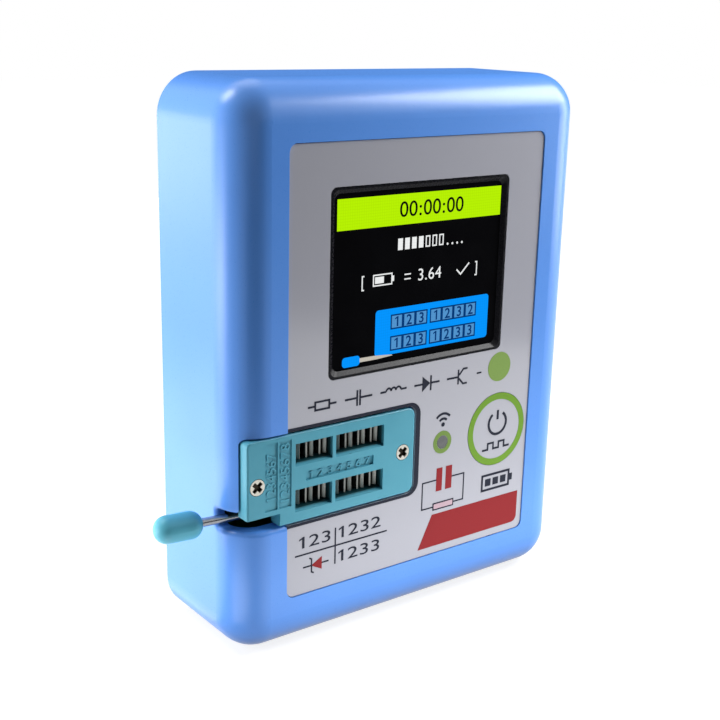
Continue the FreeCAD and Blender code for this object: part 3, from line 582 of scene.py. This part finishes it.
def transistorFaces(x, z):
    look = symbolRow
    half, line = look["half"], look["line"]
    base = x - look["base"]
    faces = [bar(x - look["lead"], base, z - line / 2, z + line / 2),
             bar(base, base + line, z - half, z + half)]
    for way in (1, -1):
        level = z + way * half
        faces += stroke([(base + line, z + way * look["join"]), (x + look["bend"], level),
                         (x + look["end"], level)], line)
    return faces


def symbolFaces(kind, x, z):
    if kind == "transistor":
        return transistorFaces(x, z)
    reach, half, line = symbolRow["lead"], symbolRow["half"], symbolRow["line"]
    edge = line / 2
    body = symbolRow["bodies"][kind]
    leads = [bar(x - reach, x - body, z - edge, z + edge), bar(x + body, x + reach, z - edge, z + edge)]
    if kind == "resistor":
        return leads + stroke(bar(x - body + edge, x + body - edge, z - half / 2, z + half / 2), line, True)
    if kind == "capacitor":
        plates = ((x - body, x - body + line), (x + body - line, x + body))
        return leads + [bar(*plate, z - half, z + half) for plate in plates]
    if kind == "coil":
        loop = body / symbolRow["loops"]
        for i in range(symbolRow["loops"]):
            leads += stroke(arc(x - body + (2 * i + 1) * loop, z, loop, 180, 0, steps=12), line)
        return leads
    arrow = [(x - body, z - half), (x + body - line, z), (x - body, z + half)]
    return leads + [arrow, bar(x + body - line, x + body, z - half, z + half)]


def printSymbolRow():
    z, half = symbolRow["z"], symbolRow["dashLine"] / 2
    faces = []
    for kind, x in zip(symbolRow["kinds"], symbolRow["xs"]):
        faces += symbolFaces(kind, x, z)
    faces.append(bar(*symbolRow["dash"], z - half, z + half))
    printPanel("symbol_row_print", faces, "print_dark")


greenDot = {"x": 18.2, "z": 40.83, "radius": 2.62, "ink": (0.230, 0.360, 0.095)}
windowRing = {"inner": 1.2, "outer": 2.02, "ink": (0.185, 0.295, 0.075)}


def printGreenMarks():
    dot = disc(greenDot["x"], greenDot["z"], greenDot["radius"])
    printPanel("green_dot_print", [dot], "print_green", inkFinish("dotInk", greenDot["ink"]))
    inner, outer = windowRing["inner"], windowRing["outer"]
    ring = stroke(disc(windowX, windowZ, (inner + outer) / 2), outer - inner, True)
    printPanel("window_ring_print", ring, "print_green", inkFinish("ringInk", windowRing["ink"]))


# signal mark over the infrared window
signalMark = {"z": 32.55, "dot": 0.38, "arcs": (1.05, 1.95), "line": 0.42, "spread": 48}


def printSignal():
    mark = signalMark
    faces = [disc(windowX, mark["z"], mark["dot"], steps=24)]
    for radius in mark["arcs"]:
        line = arc(windowX, mark["z"], radius, 90 - mark["spread"], 90 + mark["spread"])
        faces += stroke(line, mark["line"])
    printPanel("signal_print", faces, "print_dark")


batteryMark = {"box": (15.4, 22.2, 18.0, 21.2), "line": 0.42, "tip": 0.65, "bars": 3, "gap": 0.5}


def printBattery():
    mark = batteryMark
    x0, x1, z0, z1 = mark["box"]
    line, gap = mark["line"], mark["gap"]
    faces = stroke(bar(x0 + line / 2, x1 - line / 2, z0 + line / 2, z1 - line / 2), line, True)
    middle = (z0 + z1) / 2
    faces.append(bar(x1, x1 + mark["tip"], middle - mark["tip"], middle + mark["tip"]))
    step = (x1 - x0 - 2 * line - gap) / mark["bars"]
    for i in range(mark["bars"]):
        start = x0 + line + gap + i * step
        faces.append(bar(start, start + step - gap, z0 + line + gap, z1 - line - gap))
    printPanel("battery_print", faces, "print_dark")


# dark border round the socket's cut-out in the panel
socketBorder = {"gap": 0.37, "line": 0.50, "endLine": 0.95, "corner": 1.77}


def printSocketBorder():
    mark = socketBorder
    edges = []
    for side, end in ((0.0, 0.0), (mark["line"], mark["endLine"])):
        right = coverHigh.x + mark["gap"] + end
        low, high = coverLow.z - mark["gap"] - side, coverHigh.z + mark["gap"] + side
        radius = mark["corner"] + side
        edge = [(panelLow.x, low)] + arc(right - radius, low + radius, radius, -90, 0, steps=8)
        edges.append(edge + arc(right - radius, high - radius, radius, 0, 90, steps=8) + [(panelLow.x, high)])
    inner, outer = edges
    faces = [[inner[i], inner[i + 1], outer[i + 1], outer[i]] for i in range(len(inner) - 1)]
    printPanel("socket_border_print", faces, "print_dark")


# printing on the button: ring, power mark and a plain pulse, from the button's middle
buttonMarks = {"ring": (5.45, 6.62), "power": (0.2, 1.1, 2.05), "gap": 36, "line": 0.48, "bar": (1.75, 3.45),
               "pulse": (-3.1, -3.55, -2.45), "steps": 5, "step": 1.28, "pulseLine": 0.36}


def printButton():
    marks = buttonMarks
    thickness = printing["thickness"]
    inner, outer = marks["ring"]
    ring = stroke(disc(buttonX, buttonZ, (inner + outer) / 2, steps=96), outer - inner, True)
    raisePiece("button_ring_print", ring, buttonFront, thickness, "button", "print_green")
    dx, dz, radius = marks["power"]
    x, z, line = buttonX + dx, buttonZ + dz, marks["line"]
    faces = stroke(arc(x, z, radius, 90 + marks["gap"], 450 - marks["gap"], steps=40), line)
    low, high = marks["bar"]
    faces.append(bar(x - line / 2, x + line / 2, buttonZ + low, buttonZ + high))
    start, low, high = marks["pulse"]
    path = []
    for i in range(marks["steps"]):
        level = buttonZ + (high if i % 2 else low)
        left = buttonX + start + i * marks["step"]
        path += [(left, level), (left + marks["step"], level)]
    faces += stroke(path, marks["pulseLine"])
    raisePiece("button_mark_print", faces, buttonFront, thickness, "button", "print_dark")


# lit picture on the screen
picture = {"thickness": 0.02, "line": 0.21,
           "header": (-16.5, 16.95, 67.3, 72.15),  # left, right, low, high
           "clock": ("00:00:00", 2.15, 68.55, 2.4, 13.4, 0.012),  # text, middle, low, height, width, weight
           "progress": (-4.6, 63.3, 0.95, 1.85, 0.46),  # left, low, block's width and height, gap
           "blocks": 7, "done": 4,
           "dots": (5.69, 63.4, 1.03, 4, 0.19),  # first x, z, step, count, radius
           "readout": ("3.64", 2.1, 57.95, 1.92),  # text, middle, low, height
           "brackets": (-11.5, 12.3, 57.6, 59.8, 0.38),  # left, right, low, high, foot
           "equals": (-3.1, -1.8, 58.4, 59.15),  # left, right, lower line, upper line
           "cell": (-9.3, -5.2, 58.05, 59.75, 0.45), "cellGap": 1.5,  # the gap counts lines
           "tick": ((7.9, 58.9), (8.8, 58.05), (10.6, 59.8)), "tickLine": 1.2}


def showPicture(name, faces, layer, slot, material=None):
    start = glassFront - layer * picture["thickness"]
    piece = raisePiece(name, faces, start, picture["thickness"], "case", slot, material)
    piece.visible_diffuse = False  # its light stays off the bezel
    piece.visible_glossy = False


def showHeader():
    showPicture("screen_header", [bar(*picture["header"])], 0, "screen_lime")
    text, x, z, height, width, weight = picture["clock"]
    clock = numbers(text, x, z, height, width, weight, centred=True)
    showPicture("screen_clock", clock, 1, "screen_glass")


def showReadout():
    x, z, width, height, gap = picture["progress"]
    line = picture["line"]
    faces = []
    for i in range(picture["blocks"]):
        left = x + i * (width + gap)
        block = bar(left, left + width, z, z + height)
        edge = bar(left + line / 2, left + width - line / 2, z + line / 2, z + height - line / 2)
        faces += [block] if i < picture["done"] else stroke(edge, line, True)
    x, z, step, count, radius = picture["dots"]
    faces += [disc(x + i * step, z, radius, steps=16) for i in range(count)]
    left, right, low, high, foot = picture["brackets"]
    for x, way in ((left, 1), (right, -1)):
        faces += stroke([(x + way * foot, high), (x, high), (x, low), (x + way * foot, low)], line)
    x0, x1, z0, z1, tip = picture["cell"]
    gap = line * picture["cellGap"]
    faces += stroke(bar(x0, x1 - tip, z0, z1), line, True)
    faces.append(bar(x1 - tip + line / 2, x1, (z0 + z1) / 2 - tip, (z0 + z1) / 2 + tip))
    faces.append(bar(x0 + gap, (x0 + x1) / 2, z0 + gap, z1 - gap))
    x0, x1, z0, z1 = picture["equals"]
    faces += [bar(x0, x1, z, z + line) for z in (z0, z1)]
    faces += stroke(picture["tick"], line * picture["tickLine"])
    text, x, z, height = picture["readout"]
    faces += numbers(text, x, z, height, centred=True)
    showPicture("screen_readout", faces, 0, "screen_white")


# the screen's picture of the socket; each group of cells is its start, count and step
socketPicture = {"plate": (-8.7, 15.35, 46.45, 54.0), "corner": 0.6, "rows": (50.55, 47.0), "height": 2.45,
                 "groups": ((-5.65, 3, 2.55), (2.5, 4, 2.53)), "texts": ("1231232", "1231233"), "line": 0.24,
                 "gap": 0.02, "inset": 0.4, "weight": 0.04, "knob": (-15.1, -11.65, 45.55, 47.2),
                 "knobCorner": 0.35,
                 "wire": ((-11.66, 46.03), (-8.15, 46.03), (-5.1, 46.22), (-5.2, 46.38), (-8.7, 46.68),
                          (-11.66, 46.72)),
                 "cream": (0.560, 0.520, 0.450), "pale": (0.085, 0.300, 0.620), "navy": (0.000, 0.040, 0.180)}


def showSocket():
    look = socketPicture
    plate = roundedBar(*look["plate"], look["corner"])
    x0, x1, z0, z1 = look["knob"]
    knob = roundedBar(x0, x1, z0, z1, (z1 - z0) * look["knobCorner"])
    showPicture("screen_socket", [plate, knob], 0, "screen_blue")
    showPicture("screen_lever", [look["wire"]], 1, "screen_white", litFinish("cream", look["cream"]))
    cells, frames = [], []
    line, inset, height = look["line"], look["inset"], look["height"]
    for z, text in zip(look["rows"], look["texts"]):
        figures = iter(text)
        for start, count, step in look["groups"]:
            for i in range(count):
                left, right = start + i * step, start + (i + 1) * step - look["gap"]
                edge = bar(left + line / 2, right - line / 2, z + line / 2, z + height - line / 2)
                frames += stroke(edge, line, True)
                cells.append(bar(left + line, right - line, z + line, z + height - line))
                frames += numbers(next(figures), (left + right) / 2, z + inset, height - 2 * inset,
                                  weight=look["weight"], centred=True)
    pale = litFinish("paleBlue", look["pale"])
    navy = litFinish("navy", look["navy"])
    showPicture("screen_cells", cells, 1, "screen_blue", pale)
    showPicture("screen_figures", frames, 2, "screen_blue", navy)


# raised figures moulded into the socket's recesses; each row is text, x, z, height and width
socketFigures = {"middle": ("1 2 3 4 5 6 7", -21.7, 28.85, 1.1, 12.2), "middleDepth": 0.35,
                 "middleRise": 0.15, "sideDepth": 0.2, "sideRise": 0.13,
                 "sides": (("12345678", -25.28, 25.4, 1.65, 10.2), ("1234567", -27.83, 26.2, 1.65, 8.2))}


def raiseSocketFigures():
    look = socketFigures
    middle = numbers(*look["middle"])
    raisePiece("socket_middle_figures", middle, coverLow.y + look["middleDepth"], look["middleRise"],
               "case", "socket_teal")
    sides = [face for row in look["sides"] for face in numbers(*row, turned=True)]
    raisePiece("socket_side_figures", sides, coverLow.y + look["sideDepth"], look["sideRise"],
               "case", "socket_teal")


# floor, white surroundings and soft lamps, in metres and watts
studio = {"floor": 3.0, "under": 0.00005, "paper": (0.30, 0.30, 0.30), "lift": (0.84, 1.0),
          "spread": (0.10, 0.40), "ambient": 0.02, "aim": (0.0, 0.0, 0.045)}
matt = {"Roughness": 0.9, "Specular IOR Level": 0.0}
white = (1.0, 1.0, 1.0, 1.0)
lamps = {"leftBox": {"place": (-0.42, 0.165, 0.12), "size": (0.30, 0.38), "power": 1.55, "glossy": False},
         "leftRim": {"place": (-0.24, 0.42, 0.15), "size": (0.40, 0.30), "power": 0.80, "glossy": False},
         "leftFar": {"place": (-0.25, 0.40, 0.05), "size": (0.30, 0.10), "power": 0.28},
         "leftLow": {"place": (-0.20, 0.10, 0.02), "size": (0.15, 0.04), "power": 0.045},
         "leftEdge": {"place": (-0.215, 0.06, 0.02), "size": (0.10, 0.04), "power": 0.078},
         "leftFloor": {"place": (-0.080, 0.062, 0.002), "size": (0.09, 0.125), "power": 0.042, "up": True},
         "sideFloor": {"place": (-0.11, 0.03, 0.002), "size": (0.08, 0.06), "power": 0.038, "up": True},
         "cornerFloor": {"place": (-0.050, -0.019, 0.002), "size": (0.02, 0.018), "power": 0.003, "up": True},
         "cornerBox": {"place": (-0.14, 0.12, 0.28), "size": (0.10, 0.10), "power": 0.38},
         "rightBox": {"place": (0.235, -0.10, 0.09), "size": (0.14, 0.14), "power": 0.27},
         "topBox": {"place": (0.165, -0.085, 0.19), "size": (0.11, 0.11), "power": 0.55},
         "lowBox": {"place": (0.015, -0.035, 0.001), "size": (0.09, 0.03), "power": 0.026, "up": True,
                    "glossy": False},
         "footBox": {"place": (0.006, -0.0165, 0.001), "size": (0.09, 0.008), "power": 0.0015, "up": True,
                     "glossy": False},
         "overBox": {"place": (0.02, 0.10, 0.30), "size": (0.14, 0.14), "power": 0.10},
         "backBox": {"place": (0.06, 0.45, 0.06), "size": (0.30, 0.12), "power": 0.60, "glossy": False}}


def whiteRays(tree):
    # camera, glossy and transmission rays see the white surroundings
    rays = tree.nodes.new("ShaderNodeLightPath").outputs
    seen = rays["Is Camera Ray"]
    for name in ("Is Glossy Ray", "Is Transmission Ray"):
        seen = combined(tree, "MAXIMUM", seen, rays[name])
    return seen


def addSheet(name, corners, material):
    mesh = bpy.data.meshes.new(name)
    mesh.from_pydata(corners, [], [(0, 1, 2, 3)])
    mesh.materials.append(material)
    sheet = bpy.data.objects.new(name, mesh)
    scene.collection.objects.link(sheet)
    return sheet


def layFloor():
    material, tree, shader = startFinish("paper", {**matt, "Base Color": (*studio["paper"], 1.0),
                                                   "Emission Color": white})
    away = tree.nodes.new("ShaderNodeVectorMath")
    away.operation = "LENGTH"
    tree.links.new(addNode(tree, "TexCoord").outputs["Object"], away.inputs[0])
    near, far = studio["spread"]
    low, high = studio["lift"]
    lift = addNode(tree, "MapRange", {"From Min": near, "From Max": far, "To Min": low, "To Max": high})
    tree.links.new(away.outputs["Value"], lift.inputs["Value"])
    glow = combined(tree, "MULTIPLY", lift.outputs["Result"], whiteRays(tree))
    tree.links.new(glow, shader.inputs["Emission Strength"])
    half, z = studio["floor"] / 2, -studio["under"]
    corners = [(-half, -half, z), (half, -half, z), (half, half, z), (-half, half, z)]
    floor = addSheet("floor", corners, material)


# dark cards that only reflections see
cards = {"frontCard": {"middle": (-0.065, -0.12, 0.030), "size": (0.10, 0.064), "turn": 0.0},
         "roomCard": {"middle": (0.047, -0.252, 0.06), "size": (0.36, 0.12), "turn": 53.9},
         "backCard": {"middle": (0.18, 0.24, 0.22), "size": (0.60, 0.30), "turn": -38.0}}
cardGrey = (0.02, 0.02, 0.02, 1.0)


def standCards():
    material = startFinish("card", {**matt, "Base Color": cardGrey})[0]
    for name, look in cards.items():
        wide, high = (s / 2 for s in look["size"])
        corners = [(-wide, 0, -high), (wide, 0, -high), (wide, 0, high), (-wide, 0, high)]
        card = addSheet(name, corners, material)
        card.location = look["middle"]
        card.rotation_euler.z = math.radians(look["turn"])
        for ray in ("camera", "diffuse", "transmission", "volume_scatter", "shadow"):
            setattr(card, "visible_" + ray, False)


def lightStudio():
    world = bpy.data.worlds.new("studio")
    world.use_nodes = True
    scene.world = world
    tree = world.node_tree
    background = tree.nodes["Background"]
    background.inputs["Color"].default_value = white
    level = addNode(tree, "MapRange", {"To Min": studio["ambient"], "To Max": 1.0})
    tree.links.new(whiteRays(tree), level.inputs["Value"])
    tree.links.new(level.outputs["Result"], background.inputs["Strength"])
    for name, look in lamps.items():
        data = bpy.data.lights.new(name, "AREA")
        data.shape = "RECTANGLE"
        data.size, data.size_y = look["size"]
        data.energy = look["power"]
        lamp = bpy.data.objects.new(name, data)
        lamp.location = look["place"]
        aim = Vector((0, 0, 1)) if look.get("up") else Vector(studio["aim"]) - lamp.location
        lamp.rotation_euler = aim.to_track_quat("-Z", "Y").to_euler()
        lamp.visible_camera = False
        lamp.visible_glossy = look.get("glossy", True)
        scene.collection.objects.link(lamp)


addCamera()
layFloor()
standCards()
lightStudio()
print("camera, floor, cards and lamps placed")
finishes = makeFinishes()
dressNodes()
print("finishes made:", len(finishes))
printPinMap()
printDiode()
printCapacitor()
printRedField()
printSymbolRow()
printGreenMarks()
printSignal()
printBattery()
printSocketBorder()
printButton()
print("panel and button printed")
showHeader()
showReadout()
showSocket()
print("screen lit")
raiseSocketFigures()
print("socket figures raised")
